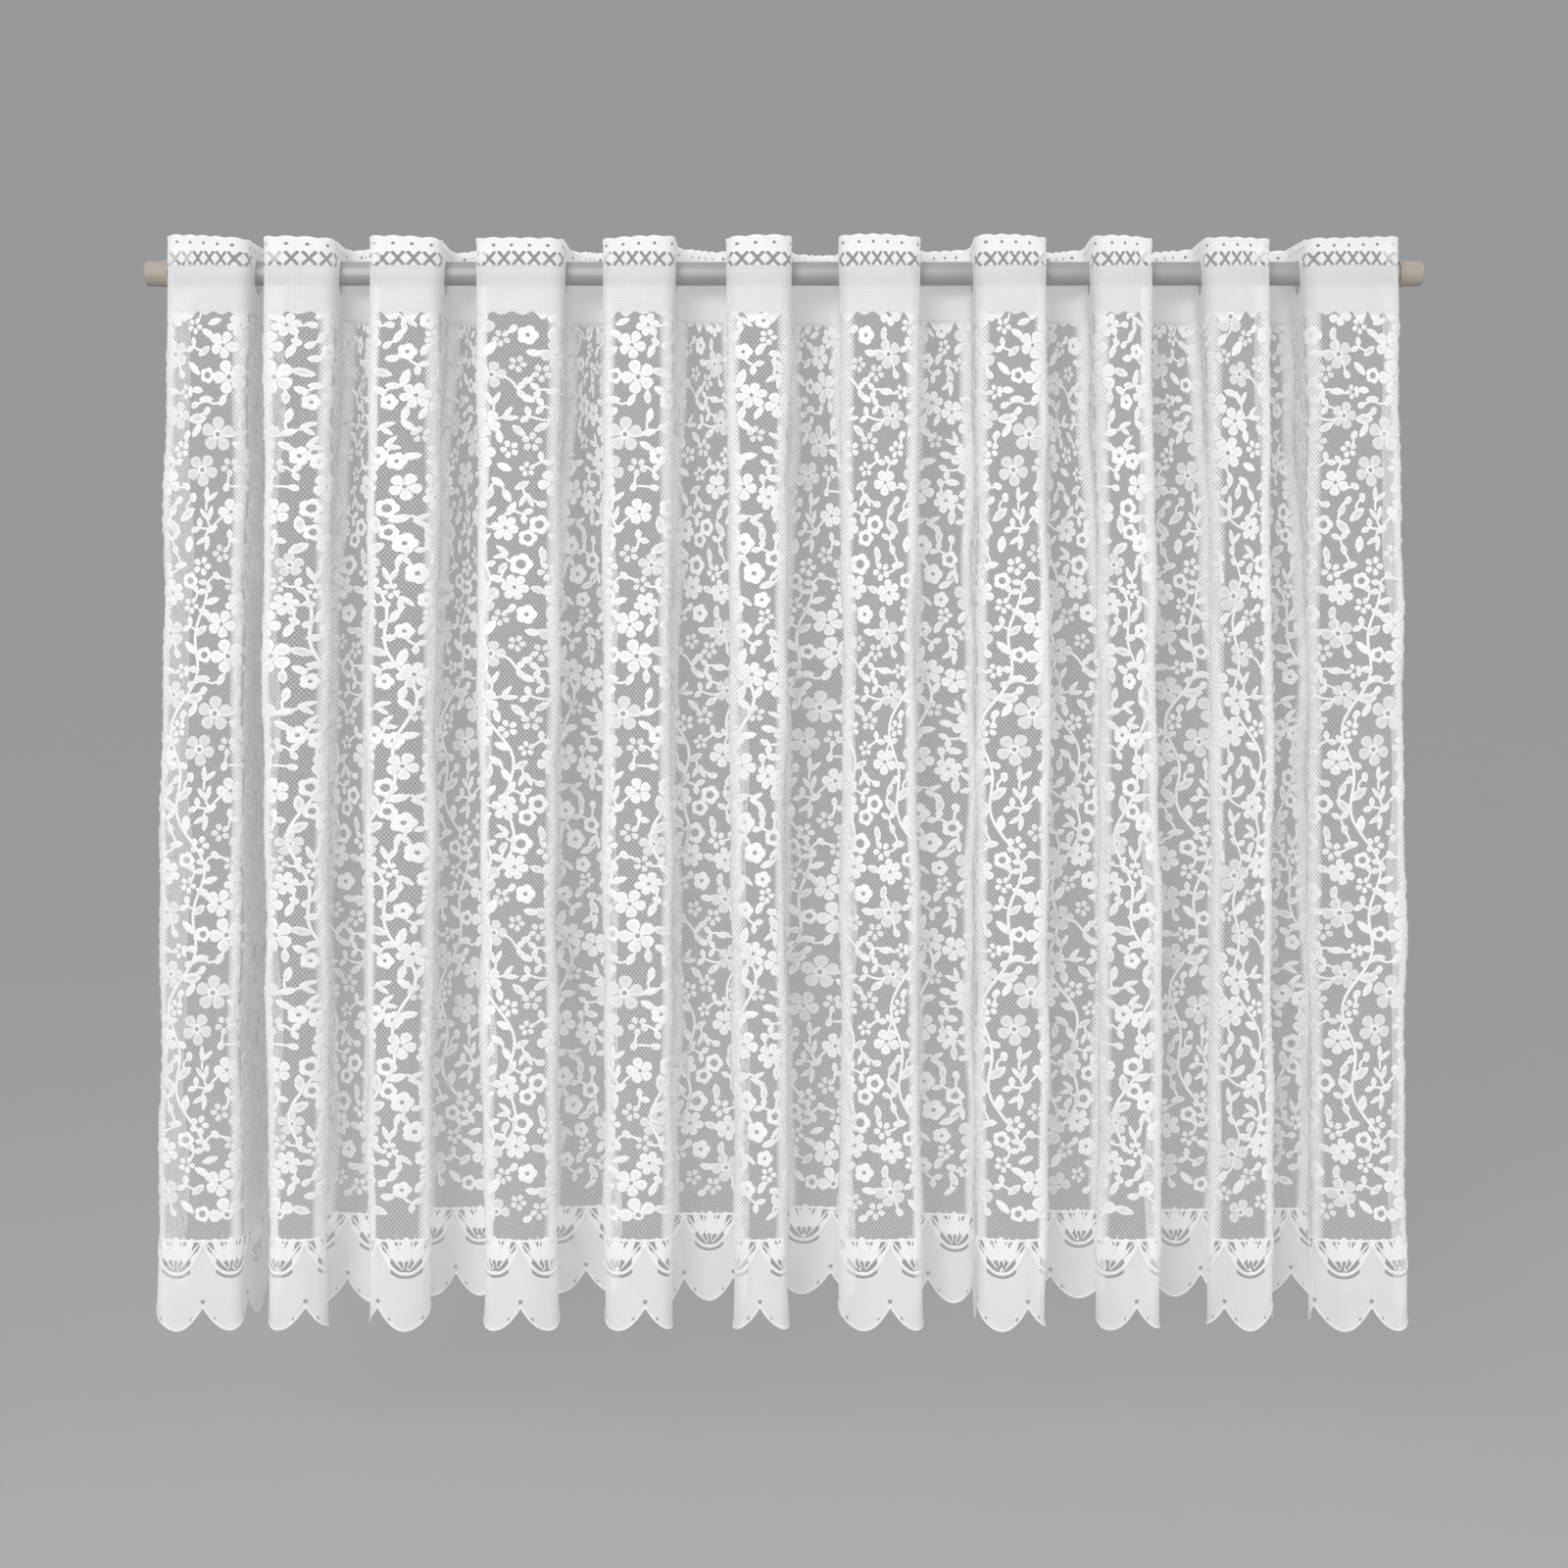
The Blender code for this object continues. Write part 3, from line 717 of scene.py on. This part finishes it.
class Repeat:
    """One repeat of the flower pattern: winding stems, and flowers and leaves set round them."""

    SEED = 20
    LARGE = {"count": 21, "sizes": (0.86, 1.22), "room": 0.0112, "tries": 400}
    LARGE_KINDS = table(
        ("petals", "closeness", "width"),
        ((5, 1.0, 0.0108), (6, 1.0, 0.0092), (5, 0.72, 0.0108)),
    )
    LARGE_PETAL = {"from_middle": 0.0026, "length": 0.0092, "spread": (0.92, 1.08)}
    LARGE_EYE = {"inner": 0.0017, "outer": 0.0038, "dome": 0.0009}
    SMALL = {"count": 34, "sizes": (0.85, 1.15), "room": 0.0068, "tries": 300}
    SMALL_KINDS = ({"closeness": 1.0}, {"closeness": 0.8}, {"hole": 0.0017}, {"hole": 0.0033})
    SMALL_PETALS = 5
    SMALL_PETAL = {"from_middle": 0.0017, "size": 0.0057}
    SMALL_RING = 0.0078
    STEMS = 3
    STEM_SPOTS = 45
    STEM_WIDTH = 0.0023
    STEM_SWINGS = (
        {"size": 0.0125, "waves": 1, "shift": 2.1},
        {"size": 0.0055, "waves": 3, "shift": 1.2},
    )
    LEAF_STEP = 0.0135
    STEM_LEAF = {
        "turns": (0.6, 1.0), "lengths": (0.0120, 0.0170), "widths": (0.42, 0.54),
        "middles": (0.55, 0.9, 1.0), "gap": 0.0034, "room": 0.0050,
    }
    FILLERS = 110
    FILLER_TRIES = 120
    FILLER_TURN = 0.5
    FILLER_KINDS = (
        ("leaf", 0.0050), ("bud", 0.0040), ("sprig", 0.0060), ("leaf", 0.0044), ("pair", 0.0052),
    )  # the shape, and the room that it needs
    STALK = {"spots": 5, "reach": 0.8, "bend": 0.25, "width": 0.0019}
    LEAF = {"lengths": (0.0105, 0.0140), "width": 0.0063, "middles": (0.6, 0.9, 1.0)}
    BUD = {"back": 0.0038, "length": 0.0085, "width": 0.0070}
    SPRIG = {"back": 0.0055, "length": 0.0128, "width": 0.0045, "spread": 0.42}
    PAIR = {"length": 0.0085, "width": 0.0054, "spread": 0.95}

    def __init__(self, width, height):
        self.width, self.height = width, height
        self.draw = random.Random(self.SEED)
        self.flowers, self.greens = Shapes(), Shapes()
        self.taken = []
        self.set_flowers(self.LARGE, self.LARGE_KINDS, self.flower)
        self.set_flowers(self.SMALL, self.SMALL_KINDS, self.small_flower)
        self.set_stems()
        self.set_fillers()

    def gap(self, spot, other):
        """How far apart two spots are, round the repeat's edge if that is nearer."""
        dx = abs(spot[0] - other[0]) % self.width
        dy = abs(spot[1] - other[1]) % self.height
        return math.hypot(min(dx, self.width - dx), min(dy, self.height - dy))

    def is_free(self, spot, radius):
        return all(self.gap(spot, place) > radius + other for place, other in self.taken)

    def find_spot(self, radius, tries):
        for _ in range(tries):
            spot = (self.draw.uniform(0, self.width), self.draw.uniform(0, self.height))
            if self.is_free(spot, radius):
                self.taken.append((spot, radius))
                return spot
        return None

    def nearest(self, spot):
        """The way from a spot to the nearest other motif."""
        others = (taken for taken in self.taken if taken[0] != spot)
        best = min(others, key=lambda taken: self.gap(spot, taken[0]) - taken[1])
        dx = (best[0][0] - spot[0] + self.width / 2) % self.width - self.width / 2
        dy = (best[0][1] - spot[1] + self.height / 2) % self.height - self.height / 2
        return dx, dy

    def set_flowers(self, group, kinds, make):
        for number in range(group["count"]):
            size = self.draw.uniform(*group["sizes"])
            spot = self.find_spot(group["room"] * size, group["tries"])
            if spot:
                make(spot, size, self.draw.uniform(0, math.tau), kinds[number % len(kinds)])

    def flower(self, spot, size, turn, kind):
        petal, eye = self.LARGE_PETAL, self.LARGE_EYE
        for number in range(kind["petals"]):
            angle = turn + math.tau * number / kind["petals"]
            length = petal["length"] * (size * self.draw.uniform(*petal["spread"]))
            base = step_from(spot, petal["from_middle"] * size, angle)
            self.flowers.blob(base, angle, length, kind["width"] * size, closeness=kind["closeness"])
        inner, outer = eye["inner"] * size, eye["outer"] * size
        self.flowers.ring(spot, inner, outer, corners=10, dome=eye["dome"])

    def small_flower(self, spot, size, turn, kind):
        if "hole" in kind:
            inner, outer = kind["hole"] * size, self.SMALL_RING * size
            self.flowers.ring(spot, inner, outer, corners=20, waves=self.SMALL_PETALS)
            return
        width = self.SMALL_PETAL["size"] * size
        for number in range(self.SMALL_PETALS):
            angle = turn + math.tau * number / self.SMALL_PETALS
            base = step_from(spot, self.SMALL_PETAL["from_middle"] * size, angle)
            self.flowers.blob(base, angle, width, width, closeness=kind["closeness"], corners=7)

    def set_stems(self):
        for number in range(self.STEMS):
            centre = self.width * (number + 0.5) / self.STEMS
            heights = np.linspace(0, self.height, self.STEM_SPOTS)
            turn = math.tau * heights / self.height
            swing = sum(
                wave["size"] * np.sin(wave["waves"] * turn + wave["shift"] * number)
                for wave in self.STEM_SWINGS
            )
            spots = np.column_stack([centre + swing, heights])
            self.greens.stem(spots, self.STEM_WIDTH)
            for step in range(int(self.height / self.LEAF_STEP)):
                index = int((step + 0.5) * self.LEAF_STEP / self.height * (self.STEM_SPOTS - 1))
                ahead = spots[index + 1] - spots[index]
                way = math.atan2(ahead[1], ahead[0])
                side = 1 if step % 2 else -1
                self.leaf_at(spots[index], way + side * self.draw.uniform(*self.STEM_LEAF["turns"]))

    def leaf_at(self, base, turn):
        """A leaf on a stem, where there is room for it."""
        leaf = self.STEM_LEAF
        length = self.draw.uniform(*leaf["lengths"])
        middle = step_from(base, Shapes.TOP_AT * length, turn)
        if self.is_free(middle, leaf["gap"]):
            self.taken.append((middle, leaf["room"]))
            width = length * self.draw.uniform(*leaf["widths"])
            sheerness = self.draw.choice(leaf["middles"])
            self.greens.blob(base, turn, length, width, shape="leaf", middle=sheerness)

    def set_fillers(self):
        """Leaves, buds and sprigs in the gaps, each on a stalk from the motif next to it."""
        make = {"leaf": self.leaf, "bud": self.bud, "sprig": self.sprig, "pair": self.pair}
        for number in range(self.FILLERS):
            shape, room = self.FILLER_KINDS[number % len(self.FILLER_KINDS)]
            spot = self.find_spot(room, self.FILLER_TRIES)
            if not spot:
                continue
            dx, dy = self.nearest(spot)
            away = math.atan2(dy, dx) + math.pi
            turn = away + self.draw.uniform(-self.FILLER_TURN, self.FILLER_TURN)
            self.stalk(spot, dx, dy)
            make[shape](spot, turn)

    def stalk(self, spot, dx, dy):
        """A short curved stem from a filler to the motif next to it."""
        bend = self.draw.uniform(-self.STALK["bend"], self.STALK["bend"])
        share = np.linspace(0, self.STALK["reach"], self.STALK["spots"])
        bow = bend * np.sin(np.pi * share)
        spots = np.column_stack([spot[0] + dx * share - dy * bow, spot[1] + dy * share + dx * bow])
        self.greens.stem(spots, self.STALK["width"])

    def leaf(self, spot, turn):
        length = self.draw.uniform(*self.LEAF["lengths"])
        base = step_from(spot, -0.5 * length, turn)
        sheerness = self.draw.choice(self.LEAF["middles"])
        self.greens.blob(base, turn, length, self.LEAF["width"], shape="leaf", middle=sheerness)

    def bud(self, spot, turn):
        base = step_from(spot, -self.BUD["back"], turn)
        self.greens.blob(base, turn, self.BUD["length"], self.BUD["width"], corners=8)

    def sprig(self, spot, turn):
        """Two slim leaves in a V."""
        base = step_from(spot, -self.SPRIG["back"], turn)
        self.two_leaves(base, turn, self.SPRIG, (-1, 1))

    def pair(self, spot, turn):
        """Two small leaves that spread to both sides."""
        self.two_leaves(spot, turn, self.PAIR, (1, -1))

    def two_leaves(self, base, turn, sizes, sides):
        for side in sides:
            way = turn + side * sizes["spread"]
            self.greens.blob(base, way, sizes["length"], sizes["width"], shape="leaf", corners=8)


def spread_repeat(cloth, shapes, name, surface):
    """Sets a repeat's shapes over the whole net and drops those that reach past its edges."""
    points = np.concatenate(shapes.points)
    sizes = [len(group) for group in shapes.points]
    group = np.repeat(np.arange(len(sizes)), sizes)
    face_group = np.array([group[face[0]] for face in shapes.faces])
    width = cloth.width / REPEATS_ACROSS
    rows = math.ceil((MOTIFS_TOP - MOTIFS_BOTTOM) / REPEAT_HEIGHT) + 2
    kept_points, kept_faces, count = [], [], 0
    for across in range(-1, REPEATS_ACROSS + 1):
        for down in range(rows):
            moved = points.copy()
            moved[:, 0] += across * width
            moved[:, 1] += MOTIFS_TOP - down * REPEAT_HEIGHT
            fits = (moved[:, 0] > MOTIF_SIDE_GAP) & (moved[:, 0] < cloth.width - MOTIF_SIDE_GAP)
            fits &= (moved[:, 1] < MOTIFS_TOP) & (moved[:, 1] > MOTIFS_BOTTOM)
            whole = np.bincount(group, weights=fits, minlength=len(sizes)) == sizes
            if not whole.any():
                continue
            chosen = np.flatnonzero(whole[group])
            renumber = np.full(len(points), -1)
            renumber[chosen] = count + np.arange(len(chosen))
            kept_points.append(moved[chosen])
            for number in np.flatnonzero(whole[face_group]):
                kept_faces.append([int(renumber[i]) for i in shapes.faces[number]])
            count += len(chosen)
    placed = np.concatenate(kept_points)
    spots = cloth.place(placed[:, 0], placed[:, 1], MOTIF_LIFT + placed[:, 2])
    return mesh_piece(name, spots, kept_faces, placed[:, :2], surface, placed[:, 3])


class Nodes:
    """A short way to build the nodes of a new material, given its name, or of a world."""

    def __init__(self, holder):
        if isinstance(holder, str):
            holder = bpy.data.materials.new(holder)
        holder.use_nodes = True
        self.holder, self.tree = holder, holder.node_tree
        self.tree.nodes.clear()

    def node(self, kind, inputs=(), **settings):
        made = self.tree.nodes.new(kind)
        for key, value in settings.items():
            setattr(made, key, value)
        for key, value in dict(inputs).items():
            if isinstance(value, bpy.types.NodeSocket):
                self.tree.links.new(value, made.inputs[key])
            else:
                made.inputs[key].default_value = value
        return made

    def math(self, operation, first, second=0.0, third=0.0, clamp=False):
        inputs = {0: first, 1: second, 2: third}
        return self.node("ShaderNodeMath", inputs, operation=operation, use_clamp=clamp).outputs[0]

    def flat(self):
        """The spot on the flat cloth, and its two coordinates in millimetres."""
        place = self.node("ShaderNodeUVMap", uv_map="flat").outputs[0]
        split = self.node("ShaderNodeSeparateXYZ", {0: place})
        along, height = (self.math("MULTIPLY", split.outputs[i], 1000.0) for i in range(2))
        return place, along, height

    def closeness(self):
        """The mesh's own value. The renderer keeps the name density for volumes."""
        return self.node("ShaderNodeAttribute", attribute_name="closeness").outputs["Fac"]

    def noise(self, place, scale, detail=2.0):
        inputs = {"Vector": place, "Scale": scale, "Detail": detail}
        return self.node("ShaderNodeTexNoise", inputs).outputs[0]

    def ripple(self, value, pitch):
        """A wave from 0 to 1 and back over one pitch."""
        turn = self.math("MULTIPLY", value, math.tau / pitch)
        return self.math("MULTIPLY_ADD", self.math("SINE", turn), 0.5, 0.5)

    def blend(self, factor, dark, light):
        made = self.node("ShaderNodeMix", {"Factor": factor}, data_type="RGBA")
        for socket, colour in (("A", dark), ("B", light)):
            wanted = [s for s in made.inputs if s.name == socket and s.type == "RGBA"][0]
            wanted.default_value = (*colour, 1.0)
        return [s for s in made.outputs if s.type == "RGBA"][0]

    def bump(self, height, strength, distance):
        inputs = {"Height": height, "Strength": strength, "Distance": distance}
        return self.node("ShaderNodeBump", inputs).outputs["Normal"]

    def skin(self, colour, roughness, specular, more=()):
        inputs = {"Base Color": colour, "Roughness": roughness, "Specular IOR Level": specular}
        return self.node("ShaderNodeBsdfPrincipled", {**inputs, **dict(more)}).outputs[0]

    def mix(self, factor, first, second):
        return self.node("ShaderNodeMixShader", {0: factor, 1: first, 2: second}).outputs[0]

    def thread(self, colour, normal, glow):
        """White yarn, matt with a faint sheen. The glow is the share that lets light through."""
        relief = {"Normal": normal} if normal else {}
        sheen = {"Sheen Weight": 0.03, "Sheen Roughness": 0.6}
        cover = self.skin(colour, 0.85, 0.10, {**sheen, **relief})
        through = self.node("ShaderNodeBsdfTranslucent", {"Color": colour, **relief})
        return self.mix(glow, cover, through.outputs[0])

    def finish(self, shader, coverage=None):
        """Ends the material. Where the coverage is below 1, part of it is clear."""
        if coverage is not None:
            clear = self.node("ShaderNodeBsdfTransparent").outputs[0]
            shader = self.mix(coverage, clear, shader)
        self.node("ShaderNodeOutputMaterial", {"Surface": shader})
        return self.holder


# The yarn's painted shade (THREAD_SHADE) and painted light (THREAD_LIGHT): the crests of its loops and
# strands are painted lighter and the dips between them darker. In the close knitting the colour also
# varies at random between the two.
THREAD_SHADE = (0.875, 0.873, 0.870)
THREAD_LIGHT = (0.950, 0.950, 0.955)
ROD_DARK = (0.300, 0.295, 0.284)
ROD_LIGHT = (0.400, 0.393, 0.380)
CAP_DARK = (0.300, 0.260, 0.216)
CAP_LIGHT = (0.410, 0.360, 0.300)


def net_surface(pitch, slant):
    """Fine slanting meshes of single yarns, closer at the bends and along the side edges."""
    kit = Nodes("lace_net")
    _, along, height = kit.flat()
    rise = kit.math("MULTIPLY", height, slant)
    strands = [kit.ripple(kit.math(way, along, rise), pitch) for way in ("ADD", "SUBTRACT")]
    mesh = kit.math("MAXIMUM", *strands)
    crests = kit.math("MULTIPLY_ADD", mesh, 5.0, -4.2, clamp=True)
    threads = kit.math("MULTIPLY", crests, 0.60)
    bunched = kit.math("MULTIPLY", kit.closeness(), 0.80)
    coverage = kit.math("ADD", threads, bunched, clamp=True)
    # Painted light on the crests of the strands and painted shade between them, where the bunched yarn
    # fills the gaps.
    colour = kit.blend(mesh, THREAD_SHADE, THREAD_LIGHT)
    return kit.finish(kit.thread(colour, None, 0.40), coverage)


def knit_surface(name, loop, openness, relief_strength):
    """Close knitting in rows of small loops. Where it is less close, more light shows between."""
    contrast = 0.25
    kit = Nodes(name)
    place, along, height = kit.flat()
    wales, courses = kit.ripple(along, loop), kit.ripple(height, loop * 0.8)
    loops = kit.math("MULTIPLY", kit.math("ADD", wales, courses), 0.5)
    grain = kit.noise(place, 420.0)
    relief = kit.math("ADD", loops, kit.math("MULTIPLY", grain, 0.5))
    # The colour is a quarter painted shade on the loops, lighter on their crests and darker between
    # them, and three quarters random blotchy tone.
    patchy = kit.math("MULTIPLY", kit.noise(place, 45.0), 1.0 - contrast)
    painted_shade_and_tone = kit.math("ADD", kit.math("MULTIPLY", loops, contrast), patchy, clamp=True)
    colour = kit.blend(painted_shade_and_tone, THREAD_SHADE, THREAD_LIGHT)
    gaps = kit.math("MULTIPLY", kit.math("SUBTRACT", 1.0, kit.closeness()), openness)
    holes = kit.math("MULTIPLY", gaps, kit.math("MULTIPLY_ADD", loops, -0.6, 1.3))
    coverage = kit.math("SUBTRACT", 1.0, holes, clamp=True)
    normal = kit.bump(relief, relief_strength, 0.0004)
    return kit.finish(kit.thread(colour, normal, 0.38), coverage)


def rod_surface():
    """Satin grey metal, drawn along its length."""
    kit = Nodes("rod_satin_grey")
    place = kit.node("ShaderNodeTexCoord").outputs["Object"]
    stretched = kit.node("ShaderNodeMapping", {"Vector": place, "Scale": (2.0, 60.0, 60.0)})
    lines = kit.bump(kit.noise(stretched.outputs[0], 24.0, 4.0), 0.12, 0.0002)
    colour = kit.blend(kit.noise(place, 9.0), ROD_DARK, ROD_LIGHT)
    return kit.finish(kit.skin(colour, 0.50, 0.35, {"Metallic": 0.30, "Normal": lines}))


def cap_surface():
    """Matt beige plastic with a fine grain and faint blotches."""
    kit = Nodes("cap_beige")
    place = kit.node("ShaderNodeTexCoord").outputs["Object"]
    grain = kit.bump(kit.noise(place, 900.0), 0.15, 0.0002)
    colour = kit.blend(kit.noise(place, 120.0, 3.0), CAP_DARK, CAP_LIGHT)
    return kit.finish(kit.skin(colour, 0.52, 0.4, {"Normal": grain}))


def dress_rod():
    rod, cap = rod_surface(), cap_surface()
    for name, surface in {"rod_tube": rod, "end_cap_left": cap, "end_cap_right": cap}.items():
        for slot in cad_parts[name].material_slots:
            slot.material = surface


def make_floor():
    bpy.ops.mesh.primitive_plane_add(size=FLOOR_SIZE, location=(0.5, 0.0, FLOOR_HEIGHT))
    floor = bpy.context.object
    floor.name = "studio_floor"
    kit = Nodes("studio_floor")
    place = kit.node("ShaderNodeTexCoord").outputs["Object"]
    tones = ([FLOOR_TONE + step] * 3 for step in (-FLOOR_SPECKLE, FLOOR_SPECKLE))
    colour = kit.blend(kit.noise(place, 3.0), *tones)
    floor.data.materials.append(kit.finish(kit.skin(colour, 0.9, 0.0)))


def make_surround():
    """A plain surround that looks as the floor does far away, so that no horizon shows."""
    world = bpy.context.scene.world or bpy.data.worlds.new("studio")
    bpy.context.scene.world = world
    kit = Nodes(world)
    tint = (*WORLD_TINT, 1.0)
    light, seen = (
        kit.node("ShaderNodeBackground", {"Color": tint, "Strength": strength}).outputs[0]
        for strength in (WORLD_LIGHT, WORLD_LIGHT * FLOOR_TONE)
    )
    to_camera = kit.node("ShaderNodeLightPath").outputs["Is Camera Ray"]
    kit.node("ShaderNodeOutputWorld", {"Surface": kit.mix(to_camera, light, seen)})


def make_lights():
    """A cool key and a warm fill in front, and a narrow warm light that shines through the cloth."""
    for light in table(LIGHT_COLUMNS, LIGHT_ROWS):
        lamp = bpy.data.lights.new(light["name"], "AREA")
        lamp.size = light["size"]
        lamp.energy = light["power"]
        lamp.spread = math.radians(light["spread"])
        lamp.color = light["colour"]
        holder = bpy.data.objects.new(light["name"], lamp)
        bpy.context.scene.collection.objects.link(holder)
        holder.location = light["place"]
        aim = Vector(LIT_SPOT) - Vector(light["place"])
        holder.rotation_euler = aim.to_track_quat("-Z", "Y").to_euler()
        holder.visible_camera = False


def make_camera():
    view = bpy.data.cameras.new("camera")
    view.lens = CAMERA_LENS
    view.sensor_width = 36.0
    view.shift_y = CAMERA_SHIFT
    camera = bpy.data.objects.new("camera", view)
    bpy.context.scene.collection.objects.link(camera)
    camera.location = CAMERA_PLACE
    camera.rotation_euler = (math.radians(90), 0.0, 0.0)
    bpy.context.scene.camera = camera
    bpy.context.scene.view_settings.view_transform = "Standard"


def set_light_paths():
    """Two diffuse bounces light the backs of the folds, and the layers of net need clear steps."""
    cycles = bpy.context.scene.cycles
    cycles.max_bounces = 4
    cycles.diffuse_bounces = 2
    cycles.transparent_max_bounces = 16


def make_curtain():
    cloth = Cloth()
    close = knit_surface("lace_close_knit", loop=1.5, openness=0.80, relief_strength=0.35)
    motif = knit_surface("lace_flower_knit", loop=0.9, openness=0.95, relief_strength=0.25)
    net = knit_net(cloth, net_surface(pitch=3.0, slant=0.75))
    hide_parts("lace_panel")
    repeat = Repeat(cloth.width / REPEATS_ACROSS, REPEAT_HEIGHT)
    on_it = [
        spread_repeat(cloth, repeat.flowers, "lace_flowers", motif),
        spread_repeat(cloth, repeat.greens, "lace_leaves", motif),
        Heading(cloth).knit(close),
        Hem(cloth).knit(close),
    ]


def main():
    make_camera()
    set_light_paths()
    make_curtain()
    dress_rod()
    make_floor()
    make_surround()
    make_lights()


main()
